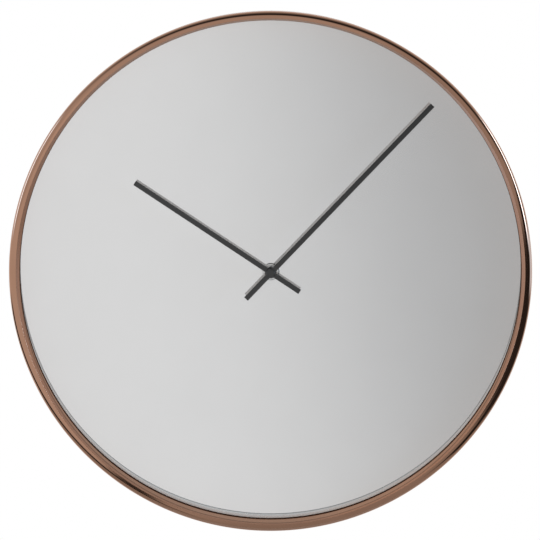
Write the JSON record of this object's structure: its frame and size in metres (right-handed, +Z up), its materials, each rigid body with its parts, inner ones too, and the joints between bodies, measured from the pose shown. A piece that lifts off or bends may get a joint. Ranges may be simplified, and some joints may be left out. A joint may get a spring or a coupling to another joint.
{
  "type": "mirror wall clock",
  "caption": "Round wall clock with a plain mirror dial, a slim polished copper frame, two straight dark hands and a battery quartz movement behind.",
  "frame": {"origin": "on the axis of the hands, in the plane of the wall that the rear flange rests on", "axes": "+Z up, -Y out of the dial towards the viewer, +Y into the wall, +X to the viewer's right"},
  "size_m": [0.6, 0.054, 0.6],
  "materials": {
    "copper": "polished copper plating on sheet steel",
    "gasket": "matt dark foam rubber",
    "mirror": "silvered mirror glass",
    "board": "plain fibreboard",
    "foam": "matt foam strip",
    "zinc_steel": "zinc plated",
    "screw_steel": "zinc plated",
    "black_plastic": "moulded, fine grain",
    "cream_plastic": "moulded",
    "brass": "turned",
    "rubber": "matt",
    "nickel": "nickel plated",
    "white_plastic": "moulded",
    "hand_paint": "charcoal satin paint on the front, bare behind",
    "magnet": "sintered",
    "stator_steel": "bright sheet",
    "copper_wire": "enamelled wire",
    "circuit": "lacquered board",
    "crystal_can": "plated can",
    "contact_strip": "nickel plated strip",
    "cell_sleeve": "plain sleeve"
  },
  "bodies": {
    "case": {"frame_ring": "copper", "front_gasket": "gasket", "mirror_disc": "mirror", "backing_board": "board", "edge_strip": "foam", "retaining_clips": "zinc_steel", "clip_screws": "screw_steel", "hanger_plate": "zinc_steel", "movement_base": "black_plastic", "movement_bridge": "cream_plastic", "movement_cover": "black_plastic", "threaded_post": "nickel", "rubber_washer": "rubber", "dial_washer": "nickel", "hex_nut": "nickel", "stator_plate": "stator_steel", "coil_core": "stator_steel", "drive_coil": "copper_wire", "circuit_board": "circuit", "quartz_crystal": "crystal_can", "negative_contact": "contact_strip", "positive_contact": "contact_strip"},
    "minute": {"minute_arbor": "brass", "minute_hand": "hand_paint", "hand_nut": "hand_paint", "friction_spring": "brass"},
    "hour": {"hour_wheel": "white_plastic", "hour_hand": "hand_paint"},
    "motion": {"motion_wheel": "white_plastic"},
    "setting": {"setting_pinion": "white_plastic", "setting_knob": "black_plastic"},
    "centre": {"centre_wheel": "white_plastic"},
    "third": {"third_wheel": "white_plastic"},
    "seconds": {"seconds_wheel": "white_plastic"},
    "intermediate": {"intermediate_wheel": "white_plastic"},
    "rotor": {"rotor_arbor": "white_plastic", "rotor_magnet": "magnet"},
    "cell": {"battery_cell": "cell_sleeve"}
  },
  "joints": [
    {"name": "minute_turn", "type": "hinge", "parent": "case", "child": "minute", "pos_m": [0, -0.0166, 0], "axis": [0, 1, 0], "continuous": true},
    {"name": "hour_turn", "type": "hinge", "parent": "case", "child": "hour", "pos_m": [0, -0.0166, 0], "axis": [0, 1, 0], "continuous": true},
    {"name": "motion_turn", "type": "hinge", "parent": "case", "child": "motion", "pos_m": [0.01182, -0.0166, 0.00208], "axis": [0, 1, 0], "continuous": true},
    {"name": "setting_turn", "type": "hinge", "parent": "case", "child": "setting", "pos_m": [0.01812, -0.0166, 0.013], "axis": [0, 1, 0], "continuous": true},
    {"name": "rotor_turn", "type": "hinge", "parent": "case", "child": "rotor", "pos_m": [-0.00111, -0.0166, 0.0193], "axis": [0, 1, 0], "continuous": true},
    {"name": "intermediate_turn", "type": "hinge", "parent": "case", "child": "intermediate", "pos_m": [0.00578, -0.0166, 0.01808], "axis": [0, 1, 0], "continuous": true},
    {"name": "seconds_turn", "type": "hinge", "parent": "case", "child": "seconds", "pos_m": [0.00203, -0.0166, 0.01159], "axis": [0, 1, 0], "continuous": true},
    {"name": "third_turn", "type": "hinge", "parent": "case", "child": "third", "pos_m": [-0.00796, -0.0166, 0.00796], "axis": [0, 1, 0], "continuous": true},
    {"name": "centre_turn", "type": "hinge", "parent": "case", "child": "centre", "pos_m": [0, -0.0166, 0], "axis": [0, 1, 0], "continuous": true},
    {"name": "cell_pull", "type": "slide", "parent": "case", "child": "cell", "axis": [0, 1, 0], "range_m": [0, 0.024]}
  ],
  "couplings": [
    {"joint": "hour_turn", "follows": "minute_turn", "ratio": 0.083333},
    {"joint": "motion_turn", "follows": "minute_turn", "ratio": -0.33333},
    {"joint": "setting_turn", "follows": "minute_turn", "ratio": 0.83333},
    {"joint": "intermediate_turn", "follows": "rotor_turn", "ratio": -0.16667},
    {"joint": "seconds_turn", "follows": "rotor_turn", "ratio": 0.033333},
    {"joint": "third_turn", "follows": "rotor_turn", "ratio": -0.0044444},
    {"joint": "centre_turn", "follows": "rotor_turn", "ratio": 0.00055556}
  ]
}
